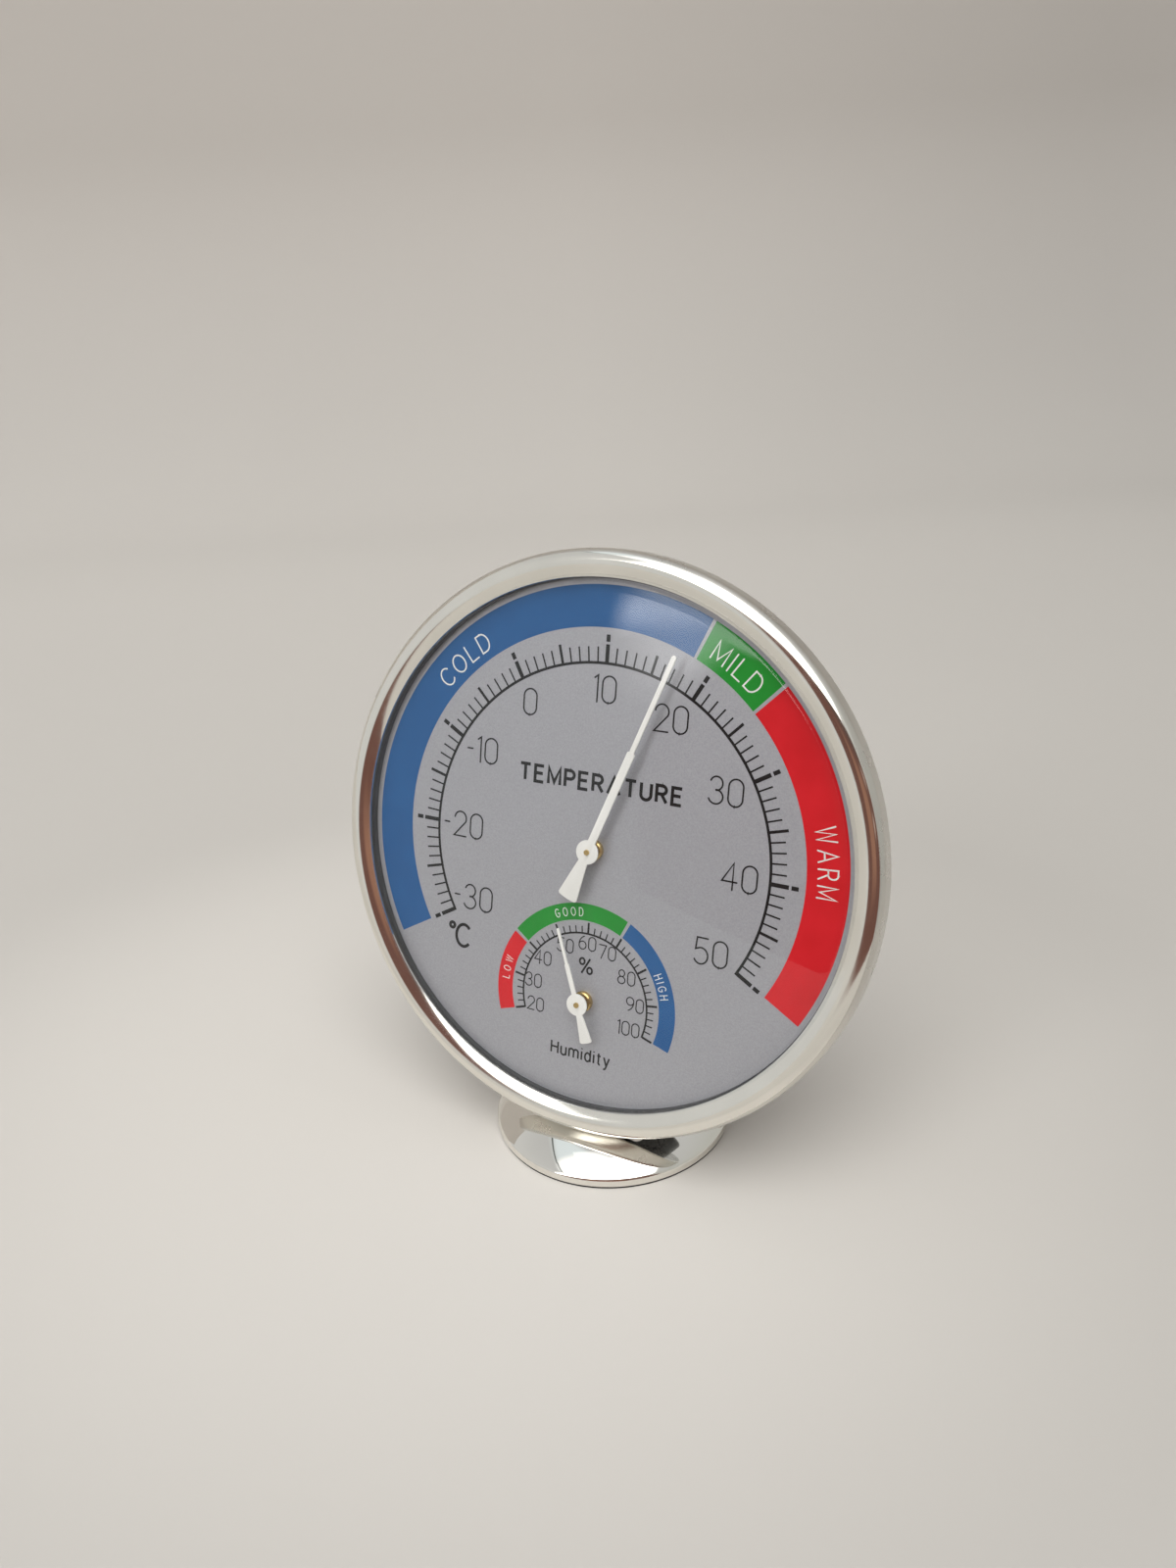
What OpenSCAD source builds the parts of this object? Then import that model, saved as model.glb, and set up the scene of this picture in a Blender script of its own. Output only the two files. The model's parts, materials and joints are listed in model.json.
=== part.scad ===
// Dial thermometer and hygrometer on a small round stand.
// Millimetres. The origin is the middle of the stand's underside, +Z is up,
// +X is to the right, and the dial looks towards -Y and leans back.
// Pieces of the head are drawn in the head's own frame: x to the right,
// y up the dial, z out of the dial, with z = 0 on the printed face.

/* [Head] */
// Overall diameter of the bright ring
bezel_d = 129; // [124:1:136]
// Width of the ring from its outer edge to the window
ring_w = 6; // [5.6:0.1:6.2]
// Height of the ring's crown above the dial face
crown_h = 3.5; // [3.4:0.1:4]
// Radius of the ring's outer roll
outer_roll = 2.4; // [2:0.1:2.8]
// Radius of the ring's inner slope
inner_roll = 7; // [6:0.5:9]
// Wall of the ring's skirt
skirt_wall = 2; // [1.6:0.1:2.4]
// How far the dial leans back from upright, in degrees
lean = 15; // [10:1:18]
// Gap between the ring's lowest edge and the base under it
ring_gap = 0.6; // [0.2:0.1:3]
// How far the dial's middle lies in front of the base's middle
dial_front = 1.7; // [1:0.1:2.4]

/* [Window] */
// Wall of the lens
lens_t = 1.2; // [0.9:0.1:1.4]
// Thickness of the lens's edge flange
flange_t = 0.9; // [0.7:0.1:1.1]
// How far the flange reaches past the window's edge
flange_w = 0.9; // [0.7:0.1:1.1]
// Height of the lens's middle above the dial face
lens_top = 6.6; // [6.3:0.1:8]
// Height of the lens's shoulder above the dial face
lens_shoulder = 4.2; // [4.1:0.1:4.5]
// Height of the spacer between the dial and the lens
spacer_h = 1.3; // [1.1:0.1:1.5]

/* [Dial] */
// Thickness of the dial plate
dial_t = 0.6; // [0.4:0.1:0.8]
// Distance from the small dial's middle to the window's edge
small_dial_edge = 23.8; // [22.7:0.1:25.7]

/* [Case] */
// Thickness of the ring plate behind the dial
plate_t = 2.1; // [1.5:0.1:2.2]
// How far the rear case's side lies inside the ring's outer edge
case_inset = 14.5; // [12:0.5:16]
// Depth of the rear case behind the dial face
case_depth = 14; // [13:0.5:18]
// Wall of the rear case
case_wall = 2; // [1.6:0.1:2.2]
// Radius of the rear case's back edge
case_edge = 3; // [1:0.5:4]
// Radius of the case screws' shanks
case_screw_r = 1.25; // [1:0.05:1.3]
// Number of vent slots
vents = 6; // [3:1:7]
// Width of one vent slot
vent_w = 1.8; // [1.2:0.1:2.2]
// Length of one vent slot
vent_l = 34; // [20:1:40]
// Radius of the keyhole's round part
keyhole_r = 4; // [3.5:0.1:4.5]
// Radius of the keyhole's slot
keyhole_slot_r = 2; // [1.5:0.1:2.2]

/* [Movements] */
// Radius of an arbor
arbor_r = 0.6; // [0.5:0.05:0.7]
// Radial running clearance of an arbor
running_gap = 0.04; // [0.02:0.01:0.08]
// Radius of a bush's body
bush_r = 1.5; // [1.2:0.1:1.7]
// Radius of a bush's shoulder
bush_shoulder_r = 2.6; // [2.2:0.1:3]
// Thickness of a bush's shoulder
bush_shoulder_t = 1.2; // [0.8:0.1:1.4]
// Radius of the round nut in front of the dial
nut_r = 2.3; // [2:0.1:2.5]
// Height of the round nut
nut_h = 1.2; // [0.8:0.1:1.4]
// Thickness of a bracket's sheet
bracket_t = 0.8; // [0.6:0.1:1]
// Room between an arbor's rear end and the case
movement_gap = 1; // [0.6:0.1:1.6]
// Width of a coil's strip
coil_w = 3; // [2:0.1:3.2]
// Thickness of the thermometer coil's strip
thermo_strip_t = 0.4; // [0.3:0.05:0.6]
// Thickness of the hygrometer coil's strip
hygro_strip_t = 0.3; // [0.2:0.05:0.4]
// Radius of a collet
collet_r = 1.6; // [1.4:0.1:1.8]
// Radius of the post that holds a coil's outer end
post_r = 0.8; // [0.6:0.05:1]
// Outer radius of the thermometer coil
thermo_coil_r = 12; // [10:0.5:12.5]
// Outer radius of the hygrometer coil
hygro_coil_r = 7; // [6:0.5:7]

/* [Pointers] */
// Height of a pointer's underside above the dial face
pointer_z = 3; // [2.6:0.1:3]
// Thickness of a pointer's sheet
pointer_t = 0.3; // [0.2:0.05:0.4]
// Room between the thermometer pointer's tip and the window's edge
thermo_tip_room = 11.3; // [10.7:0.1:14.7]
// Temperature that the thermometer shows, in degrees Celsius
thermo_reading = 17; // [-30:1:50]
// Length of the hygrometer pointer from its hub to its tip
hygro_pointer_l = 17.5; // [16:0.1:18]
// Relative humidity that the hygrometer shows, in per cent
hygro_reading = 52.6; // [20:0.1:100]

/* [Stand] */
// Diameter of the base
base_d = 55.8; // [52:0.1:60]
// Height of the base's upright rim
rim_h = 2.2; // [2:0.1:2.6]
// Rise of the base's domed top above its rim
dome_h = 6.2; // [6.1:0.1:6.6]
// Gap between the base's rim and the table
rim_gap = 0.3; // [0.2:0.1:0.4]
// Thickness of the base cover
cover_t = 1.2; // [1:0.1:1.4]
// Thickness of the foot pad
foot_t = 0.9; // [0.8:0.1:1]
// Thickness of the steel weight
weight_t = 2.3; // [1.6:0.1:2.4]
// Width of the neck
neck_w = 30; // [28:0.5:30.5]
// Depth of the neck from front to back
neck_depth = 8.4; // [8:0.1:8.6]
// How far the middle of the neck lies behind the dial face
neck_back = 7.6; // [7.6:0.1:8]
// Width of the tongue that plugs into the case
tongue_w = 20; // [18:0.5:20]
// Thickness of the tongue
tongue_t = 5.6; // [5:0.1:5.8]
// Gap all round the tongue in its socket
tongue_gap = 0.1; // [0.05:0.05:0.2]

/* [Hidden] */

round_fn = 96;
small_fn = 36;
eps = 0.05;

// Ring and window, radii about the dial's axis
bezel_r = bezel_d / 2;
window_r = bezel_r - ring_w;
small_dial_drop = window_r - small_dial_edge;
roll_r = bezel_r - outer_roll;
roll_z = crown_h - outer_roll;
lens_r = window_r + flange_w;
pocket_gap = 0.2;
pocket_r = lens_r + pocket_gap;
lip_z = spacer_h + flange_t;
skirt_r = bezel_r - skirt_wall;
skirt_back = dial_t + plate_t;
back_chamfer = 0.6;
lens_gap = 0.4;
dome_r = window_r - lens_gap;
lens_draft = 0.7;
spacer_w = 1.1;

// Case, its screws and its socket
plate_z = -dial_t;
case_z = -skirt_back;
case_r = bezel_r - case_inset;
plate_overlap = 4;
screw_inset = 6.5;
plate_bore_r = case_r - plate_overlap;
case_screw_ring = case_r - screw_inset;
back_z = -case_depth;
boss_r = 3.2;
lug_r = 3.6;
lug_depth = 2.2;
screw_angles = [45, 135, 225, 315];
screw_head_r = 2.3;
screw_head_h = 1.5;
screw_bite = 3.2;
thread_play = 0.15;
vent_pitch = 4.4;
vent_top = -2;
keyhole_edge = 23;
keyhole_y = case_r - keyhole_edge;
keyhole_travel = 6;
socket_wall = 1.5;
socket_drop = 7;
socket_corner = 2;
socket_front_gap = 0.2;
socket_room = 1.8;
socket_r = case_r + socket_drop;
socket_in = small_dial_drop + hygro_coil_r + socket_room + socket_wall - tongue_gap;

// Movements
bracket_gap = 2.6;
thermo_bracket_w = 9;
hygro_bracket_w = 7;
thermo_leg_x = thermo_coil_r + bracket_gap;
hygro_leg_x = hygro_coil_r + bracket_gap;
bracket_front_z = -dial_t - bracket_t;
arbor_back = 0.6;
bracket_rear_z = back_z + case_wall + movement_gap + arbor_back + bracket_t;
bracket_depth = bracket_front_z - bracket_rear_z;
arbor_proud = 0.35;
coil_z = bracket_front_z - bracket_depth / 2 - 0.4;
coil_pitch = 1.7;
coil_steps = 20;
coil_end_gap = 0.05;
coil_bite = 0.2;
collet_h = coil_w + 0.6;
post_rivet = 0.4;

// Pointers and scales: degrees of arc clockwise from the top of each dial
thermo_mid_reading = 10;
thermo_step_angle = 3;
hygro_mid_reading = 60;
hygro_step_angle = 2.7;
thermo_angle = (thermo_reading - thermo_mid_reading) * thermo_step_angle;
hygro_angle = (hygro_reading - hygro_mid_reading) * hygro_step_angle;
thermo_pointer_l = window_r - thermo_tip_room;
thermo_shoulder_l = 24.8;
thermo_tail_l = 11.9;
thermo_hub_r = 2.65;
thermo_blade_w = 1.85;
thermo_tip_w = 1.1;
thermo_tail_w = 4.9;
hygro_shoulder_l = 9.5;
hygro_tail_l = 8.8;
hygro_hub_r = 2.5;
hygro_blade_w = 1.1;
hygro_tip_w = 0.7;
hygro_tail_w = 3;

// Stand
base_r = base_d / 2;
dome_power = 3.5;
dome_root = 0.91;
dome_steps = 24;
cover_inset = 2;
cover_r = base_r - cover_inset;
pad_inset = 4.3;
sole_inset = 0.3;
weight_inset = 8.3;
well_wall = 4.3;
well_step = 3.6;
cover_z = rim_gap + 0.1;
cover_top = cover_z + cover_t;
well_r = base_r - well_wall;
well_top = cover_top + weight_t + 0.5;
well_ledge_r = well_r - well_step;
pad_r = base_r - pad_inset;
sole_r = base_r - sole_inset;
weight_r = base_r - weight_inset;
neck_foot_z = well_top + 1.8;
neck_seat_gap = 0.1;
neck_top_gap = 0.3;
neck_screw_x = 7;
neck_screw_r = 1.2;
neck_screw_head_r = 2.4;
neck_screw_head_h = 1.2;
neck_screw_l = 4.6;

// Height of the base's domed top at a radius
function dome_z(r) =
    rim_h + dome_h * pow(max(0, 1 - pow(r / base_r, dome_power)), dome_root);

// Place of the dial's middle: the ring's lowest edge clears the dome by ring_gap
ring_edge_z = skirt_back - back_chamfer;
ring_low_y = -dial_front - bezel_r * sin(lean) + ring_edge_z * cos(lean);
ring_low_z = dome_z(abs(ring_low_y)) + ring_gap;
dial_y = -dial_front;
dial_z = ring_low_z + bezel_r * cos(lean) + ring_edge_z * sin(lean);

// Where the middle of the neck meets its seat in the base
neck_drop = (dial_z - neck_foot_z - neck_back * sin(lean)) / cos(lean);
neck_y = dial_y - neck_drop * sin(lean) + neck_back * cos(lean);
neck_screw_y = neck_y + neck_screw_l / 2 * tan(lean);

// Point of a spiral strip's edge, side is -1 for its inner and 1 for its outer edge
function spiral_point(turn, start_r, strip_t, side) =
    let (r = start_r + coil_pitch * turn + side * strip_t / 2)
    [r * cos(360 * turn), r * sin(360 * turn)];

module in_head() {
    translate([0, dial_y, dial_z])
        rotate([90 - lean, 0, 0])
            children();
}

module at_small_dial() {
    translate([0, -small_dial_drop, 0]) children();
}

module at_case_screws() {
    for (a = screw_angles)
        rotate([0, 0, a])
            translate([case_screw_ring, 0, 0])
                children();
}

module at_neck_screws() {
    for (side = [-1, 1])
        translate([side * neck_screw_x, neck_screw_y, 0])
            children();
}

// Ring between two radii and two heights
module band(in_r, out_r, low, high) {
    rotate_extrude($fn = round_fn)
        translate([in_r, low])
            square([out_r - in_r, high - low]);
}

// Flat bar with round ends, lying along x, drawn from z = 0 upwards
module slot_bar(length, width, height) {
    linear_extrude(height) {
        square([length - width, width], center = true);
        for (side = [-1, 1])
            translate([side * (length - width) / 2, 0])
                circle(r = width / 2, $fn = small_fn);
    }
}

// Upright bar in the head's frame, from y = low to y = high, middle at z = mid
module upright_bar(width, depth, corner, low, high, mid) {
    translate([0, high, mid])
        rotate([90, 0, 0])
            linear_extrude(high - low) {
                square([width - 2 * corner, depth], center = true);
                square([width, depth - 2 * corner], center = true);
                for (sx = [-1, 1], sy = [-1, 1])
                    translate([sx * (width / 2 - corner), sy * (depth / 2 - corner)])
                        circle(r = corner, $fn = small_fn);
            }
}

// Half of the ring's section, right of the dial's axis
module bezel_section() {
    difference() {
        polygon([
            [skirt_r, -skirt_back],
            [bezel_r - back_chamfer, -skirt_back],
            [bezel_r, -skirt_back + back_chamfer],
            [bezel_r, crown_h], [window_r, crown_h],
            [window_r, lip_z], [pocket_r, lip_z],
            [pocket_r, plate_z], [skirt_r, plate_z]
        ]);
        difference() {
            translate([roll_r, roll_z])
                square(outer_roll + eps);
            translate([roll_r, roll_z])
                circle(r = outer_roll, $fn = round_fn);
        }
        difference() {
            translate([window_r - eps, lip_z])
                square([ring_w - outer_roll + eps, crown_h - lip_z + eps]);
            translate([roll_r, crown_h - inner_roll])
                circle(r = inner_roll, $fn = round_fn);
        }
    }
}

// Half of the space under the lens's dome, or of its outside with shrink = 0
module lens_section(shrink) {
    top = lens_top - shrink;
    rise = lens_top - lens_shoulder;
    foot_r = dome_r - shrink;
    head_r = foot_r - lens_draft;
    curve_r = (pow(dome_r, 2) + pow(rise, 2)) / (2 * rise);
    low = shrink > 0 ? spacer_h - eps : spacer_h;
    intersection() {
        polygon([[0, low], [foot_r, low], [foot_r, lip_z], [head_r, top], [0, top]]);
        translate([0, top - curve_r])
            circle(r = curve_r, $fn = 720);
    }
}

// Outline of a pointer that points up, hub at the origin
module pointer_outline(tip_l, shoulder_l, tail_l, hub_r, blade_w, tip_w, tail_w) {
    chamfer = blade_w / 4;
    circle(r = hub_r, $fn = small_fn);
    polygon([
        [-blade_w / 2, 0], [blade_w / 2, 0],
        [blade_w / 2, shoulder_l - chamfer], [blade_w / 2 - chamfer, shoulder_l],
        [chamfer - blade_w / 2, shoulder_l], [-blade_w / 2, shoulder_l - chamfer]
    ]);
    polygon([
        [-tip_w / 2, 0], [tip_w / 2, 0],
        [tip_w / 2, tip_l - tip_w / 2], [-tip_w / 2, tip_l - tip_w / 2]
    ]);
    translate([0, tip_l - tip_w / 2])
        circle(r = tip_w / 2, $fn = small_fn);
    intersection() {
        circle(r = tail_l, $fn = round_fn);
        polygon([
            [-blade_w / 2.4, 0], [blade_w / 2.4, 0],
            [tail_w / 2 * 1.05, -tail_l * 1.05], [-tail_w / 2 * 1.05, -tail_l * 1.05]
        ]);
    }
}

// Pointer sheet turned to its reading, with a hole for its arbor
module pointer(angle, tip_l, shoulder_l, tail_l, hub_r, blade_w, tip_w, tail_w) {
    translate([0, 0, pointer_z])
        rotate([0, 0, -angle])
            difference() {
                linear_extrude(pointer_t)
                    pointer_outline(tip_l, shoulder_l, tail_l, hub_r, blade_w, tip_w, tail_w);
                translate([0, 0, -eps])
                    cylinder(r = arbor_r, h = pointer_t + 2 * eps, $fn = small_fn);
            }
}

// Folded bracket: a plate behind the dial, two legs and a rear bar
module bracket(leg_x, width, post_x) {
    span = 2 * leg_x + 2 * bracket_t;
    depth = bracket_depth + 2 * bracket_t;
    difference() {
        translate([-span / 2, -width / 2, bracket_rear_z - bracket_t])
            cube([span, width, depth]);
        translate([-leg_x, -width / 2 - eps, bracket_rear_z])
            cube([2 * leg_x, width + 2 * eps, bracket_depth]);
        translate([0, 0, bracket_front_z - eps])
            cylinder(r = bush_r, h = bracket_t + 2 * eps, $fn = small_fn);
        translate([0, 0, bracket_rear_z - bracket_t - eps])
            cylinder(r = arbor_r + running_gap, h = bracket_t + 2 * eps, $fn = small_fn);
        translate([post_x, 0, bracket_rear_z - bracket_t - eps])
            cylinder(r = post_r, h = bracket_t + 2 * eps, $fn = small_fn);
    }
}

// Bush with a shoulder behind the bracket and a body that reaches the nut's face
module bush() {
    difference() {
        union() {
            translate([0, 0, bracket_front_z])
                cylinder(r = bush_r, h = nut_h - bracket_front_z, $fn = small_fn);
            translate([0, 0, bracket_front_z - bush_shoulder_t])
                cylinder(r = bush_shoulder_r, h = bush_shoulder_t, $fn = small_fn);
        }
        translate([0, 0, bracket_front_z - bush_shoulder_t - eps])
            cylinder(r = arbor_r + running_gap, h = case_depth, $fn = small_fn);
    }
}

// Round nut with a small chamfer on its front edge
module nut() {
    chamfer = 0.25;
    rotate_extrude($fn = small_fn)
        polygon([
            [bush_r, 0], [nut_r, 0], [nut_r, nut_h - chamfer],
            [nut_r - chamfer, nut_h], [bush_r, nut_h]
        ]);
}

// Arbor from behind the bracket to just in front of the pointer
module arbor() {
    back = bracket_rear_z - bracket_t - arbor_back;
    translate([0, 0, back])
        cylinder(r = arbor_r, h = pointer_z + pointer_t + arbor_proud - back, $fn = small_fn);
}

// Collet that carries the coil's inner end on the arbor
module collet() {
    translate([0, 0, coil_z - collet_h / 2])
        difference() {
            cylinder(r = collet_r, h = collet_h, $fn = small_fn);
            translate([0, 0, -eps])
                cylinder(r = arbor_r, h = collet_h + 2 * eps, $fn = small_fn);
        }
}

// Where the post stands: outside the coil's outer end
function coil_turns(outer_r, strip_t) =
    floor((outer_r - collet_r - coil_end_gap - strip_t) / coil_pitch);
function coil_start(strip_t) = collet_r + coil_end_gap + strip_t / 2;
function post_x(outer_r, strip_t) =
    coil_start(strip_t) + coil_pitch * coil_turns(outer_r, strip_t)
        + strip_t / 2 + post_r - coil_bite;

// Flat strip wound in a spiral between the collet and the post
module coil(outer_r, strip_t) {
    steps = coil_steps * coil_turns(outer_r, strip_t);
    start_r = coil_start(strip_t);
    inner = [for (i = [0:steps]) spiral_point(i / coil_steps, start_r, strip_t, -1)];
    outer = [for (i = [steps:-1:0]) spiral_point(i / coil_steps, start_r, strip_t, 1)];
    translate([0, 0, coil_z - coil_w / 2])
        linear_extrude(coil_w)
            polygon(concat(inner, outer));
}

// Post riveted into the bracket's rear bar
module coil_post(x) {
    low = bracket_rear_z - bracket_t - post_rivet;
    translate([x, 0, low])
        cylinder(r = post_r, h = coil_z + coil_w / 2 - low, $fn = small_fn);
}

module stand_base() {
    color("silver")
        difference() {
            rotate_extrude($fn = round_fn)
                polygon(concat(
                    [[0, rim_gap], [base_r, rim_gap]],
                    [for (i = [0:dome_steps])
                        let (r = base_r * cos(90 * i / dome_steps))
                        [r, dome_z(r)]]
                ));
            rotate_extrude($fn = round_fn)
                polygon([
                    [0, 0], [cover_r, 0], [cover_r, cover_top], [well_r, cover_top],
                    [well_r, cover_top + 1], [well_ledge_r, well_top], [0, well_top]
                ]);
            intersection() {
                in_head()
                    upright_bar(
                        neck_w + 2 * neck_seat_gap, neck_depth + 2 * neck_seat_gap,
                        socket_corner + neck_seat_gap, -bezel_d, 0, -neck_back
                    );
                translate([-bezel_r, -bezel_r, neck_foot_z])
                    cube([bezel_d, bezel_d, bezel_d]);
            }
            at_neck_screws()
                cylinder(r = neck_screw_r + thread_play, h = neck_foot_z + eps, $fn = small_fn);
        }
}

module base_weight() {
    color("dimgray")
        difference() {
            translate([0, 0, cover_top])
                cylinder(r = weight_r, h = weight_t, $fn = round_fn);
            at_neck_screws()
                cylinder(r = neck_screw_head_r + 2 * thread_play, h = well_top, $fn = small_fn);
        }
}

module base_cover() {
    color("black")
        difference() {
            translate([0, 0, cover_z])
                cylinder(r = cover_r, h = cover_t, $fn = round_fn);
            cylinder(r = pad_r, h = foot_t, $fn = round_fn);
        }
}

// Pad under the base: a thin sole with a thicker middle that fills the cover's hole
module foot_pad() {
    color("black") {
        cylinder(r = pad_r, h = foot_t, $fn = round_fn);
        cylinder(r = sole_r, h = rim_gap, $fn = round_fn);
    }
}

// Neck and tongue, cut level where the neck stands in the base
module stand_neck() {
    color("silver")
        difference() {
            in_head() {
                upright_bar(
                    neck_w, neck_depth, socket_corner,
                    -bezel_d, -socket_r - neck_top_gap, -neck_back
                );
                upright_bar(
                    tongue_w, tongue_t, 1,
                    -socket_r - neck_top_gap - eps, -socket_in - tongue_gap, -neck_back
                );
            }
            translate([-bezel_r, -bezel_d, -2 * bezel_d + neck_foot_z])
                cube([bezel_d, 2 * bezel_d, 2 * bezel_d]);
            at_neck_screws()
                cylinder(r = neck_screw_r, h = neck_foot_z + neck_screw_l, $fn = small_fn);
        }
}

module neck_screws() {
    color("gray")
        at_neck_screws() {
            translate([0, 0, well_top - neck_screw_head_h])
                cylinder(r = neck_screw_head_r, h = neck_screw_head_h, $fn = small_fn);
            translate([0, 0, well_top - eps])
                cylinder(
                    r = neck_screw_r,
                    h = neck_foot_z - well_top + neck_screw_l - thread_play, $fn = small_fn
                );
        }
}

module bezel() {
    color("gainsboro")
        in_head()
            rotate_extrude($fn = round_fn)
                bezel_section();
}

module lens() {
    color([0.85, 0.92, 0.95, 0.3])
        in_head()
            rotate_extrude($fn = round_fn) {
                difference() {
                    lens_section(0);
                    lens_section(lens_t);
                }
                translate([dome_r - lens_t, spacer_h])
                    square([lens_r - dome_r + lens_t, flange_t]);
            }
}

module spacer_ring() {
    color("black") in_head() band(lens_r - spacer_w, lens_r, 0, spacer_h);
}

module dial_plate() {
    color("slategray")
        in_head()
            difference() {
                translate([0, 0, plate_z])
                    cylinder(r = lens_r, h = dial_t, $fn = round_fn);
                for (drop = [0, small_dial_drop])
                    translate([0, -drop, plate_z - eps])
                        cylinder(r = bush_r, h = dial_t + 2 * eps, $fn = small_fn);
            }
}

module back_ring() {
    color("lightgray")
        in_head()
            difference() {
                union() {
                    band(plate_bore_r, skirt_r, case_z, plate_z);
                    at_case_screws()
                        translate([0, 0, case_z])
                            cylinder(r = lug_r, h = plate_t, $fn = small_fn);
                    at_case_screws()
                        translate([0, 0, case_z - lug_depth])
                            cylinder(r = boss_r, h = lug_depth + eps, $fn = small_fn);
                }
                at_case_screws()
                    translate([0, 0, case_z - lug_depth - eps])
                        cylinder(r = case_screw_r, h = screw_bite + eps, $fn = small_fn);
            }
}

// Rear case: a shallow round cup with screw bosses and the stand's socket
module rear_case() {
    boss_z = case_z - lug_depth;
    color("black")
        in_head()
            difference() {
                union() {
                    case_cup();
                    at_case_screws()
                        translate([0, 0, back_z + eps])
                            cylinder(r = boss_r, h = boss_z - back_z - eps, $fn = small_fn);
                    intersection() {
                        upright_bar(
                            tongue_w + 2 * (tongue_gap + socket_wall) + 2,
                            neck_depth + 1, socket_corner,
                            -socket_r, -socket_in + socket_wall - tongue_gap, -neck_back
                        );
                        translate([-case_r, -socket_r - eps, back_z])
                            cube([2 * case_r, socket_r, case_depth - skirt_back - socket_front_gap]);
                    }
                }
                upright_bar(
                    tongue_w + 2 * tongue_gap, tongue_t + 2 * tongue_gap, 1 + tongue_gap,
                    -socket_r - 1, -socket_in, -neck_back
                );
                at_case_screws()
                    translate([0, 0, back_z - eps]) {
                        cylinder(r = case_screw_r + thread_play, h = case_depth, $fn = small_fn);
                        cylinder(
                            r = screw_head_r + thread_play,
                            h = screw_head_h + thread_play + eps, $fn = small_fn
                        );
                    }
                for (i = [0:vents - 1])
                    translate([0, vent_top - i * vent_pitch, back_z - eps])
                        slot_bar(vent_l, vent_w, case_wall + 2 * eps);
                keyhole_cut();
            }
}

// Wall and back of the rear case
module case_cup() {
    inner_edge = max(case_edge - case_wall, 0.5);
    rotate_extrude($fn = round_fn)
        difference() {
            cup_section(case_r, back_z, case_edge);
            cup_section(case_r - case_wall, back_z + case_wall, inner_edge);
        }
}

// Half section of a round cup that opens forwards
module cup_section(out_r, low, edge) {
    translate([0, low])
        square([out_r - edge, case_z - low]);
    translate([0, low + edge])
        square([out_r, case_z - low - edge]);
    translate([out_r - edge, low + edge])
        circle(r = edge, $fn = round_fn);
}

// Keyhole in the back for a wall screw
module keyhole_cut() {
    translate([0, 0, back_z - eps]) {
        translate([0, keyhole_y, 0])
            cylinder(r = keyhole_r, h = case_wall + 2 * eps, $fn = small_fn);
        translate([0, keyhole_y + keyhole_travel, 0])
            cylinder(r = keyhole_slot_r, h = case_wall + 2 * eps, $fn = small_fn);
        translate([-keyhole_slot_r, keyhole_y, 0])
            cube([2 * keyhole_slot_r, keyhole_travel, case_wall + 2 * eps]);
    }
}

module case_screws() {
    color("gray")
        in_head()
            at_case_screws() {
                head_z = back_z + thread_play;
                translate([0, 0, head_z])
                    cylinder(r = screw_head_r, h = screw_head_h, $fn = small_fn);
                translate([0, 0, head_z + screw_head_h - eps])
                    cylinder(
                        r = case_screw_r,
                        h = case_z - lug_depth + screw_bite - head_z - screw_head_h - thread_play,
                        $fn = small_fn
                    );
            }
}

module thermo_bracket() {
    color("goldenrod")
        in_head()
            bracket(thermo_leg_x, thermo_bracket_w, post_x(thermo_coil_r, thermo_strip_t));
}

module thermo_bush() {
    color("gold") in_head() bush();
}

module thermo_nut() {
    color("gold") in_head() nut();
}

module thermo_coil() {
    color("peru") in_head() coil(thermo_coil_r, thermo_strip_t);
}

module thermo_coil_post() {
    color("gold") in_head() coil_post(post_x(thermo_coil_r, thermo_strip_t));
}

module thermo_arbor() {
    color("gold") in_head() arbor();
}

module thermo_collet() {
    color("gold") in_head() collet();
}

module thermo_pointer() {
    color("white")
        in_head()
            pointer(
                thermo_angle, thermo_pointer_l, thermo_shoulder_l, thermo_tail_l,
                thermo_hub_r, thermo_blade_w, thermo_tip_w, thermo_tail_w
            );
}

module hygro_bracket() {
    color("goldenrod")
        in_head()
            at_small_dial()
                bracket(hygro_leg_x, hygro_bracket_w, post_x(hygro_coil_r, hygro_strip_t));
}

module hygro_bush() {
    color("gold") in_head() at_small_dial() bush();
}

module hygro_nut() {
    color("gold") in_head() at_small_dial() nut();
}

module hygro_coil() {
    color("tan") in_head() at_small_dial() coil(hygro_coil_r, hygro_strip_t);
}

module hygro_coil_post() {
    color("gold")
        in_head()
            at_small_dial()
                coil_post(post_x(hygro_coil_r, hygro_strip_t));
}

module hygro_arbor() {
    color("gold") in_head() at_small_dial() arbor();
}

module hygro_collet() {
    color("gold") in_head() at_small_dial() collet();
}

module hygro_pointer() {
    color("white")
        in_head()
            at_small_dial()
                pointer(
                    hygro_angle, hygro_pointer_l, hygro_shoulder_l, hygro_tail_l,
                    hygro_hub_r, hygro_blade_w, hygro_tip_w, hygro_tail_w
                );
}

stand_base();
base_weight();
base_cover();
foot_pad();
stand_neck();
neck_screws();
bezel();
lens();
spacer_ring();
dial_plate();
back_ring();
rear_case();
case_screws();
thermo_bracket();
thermo_bush();
thermo_nut();
thermo_coil();
thermo_coil_post();
thermo_arbor();
thermo_collet();
thermo_pointer();
hygro_bracket();
hygro_bush();
hygro_nut();
hygro_coil();
hygro_coil_post();
hygro_arbor();
hygro_collet();
hygro_pointer();
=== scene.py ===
"""Looks for the dial thermometer and hygrometer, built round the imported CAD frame.

Lengths are written in millimetres and scaled once to metres. Pieces of the head are
made in the head's own frame: x right, y up the dial, z out of the printed face.
"""

import json
import math

import bmesh
import bpy
from mathutils import Matrix, Vector

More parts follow.
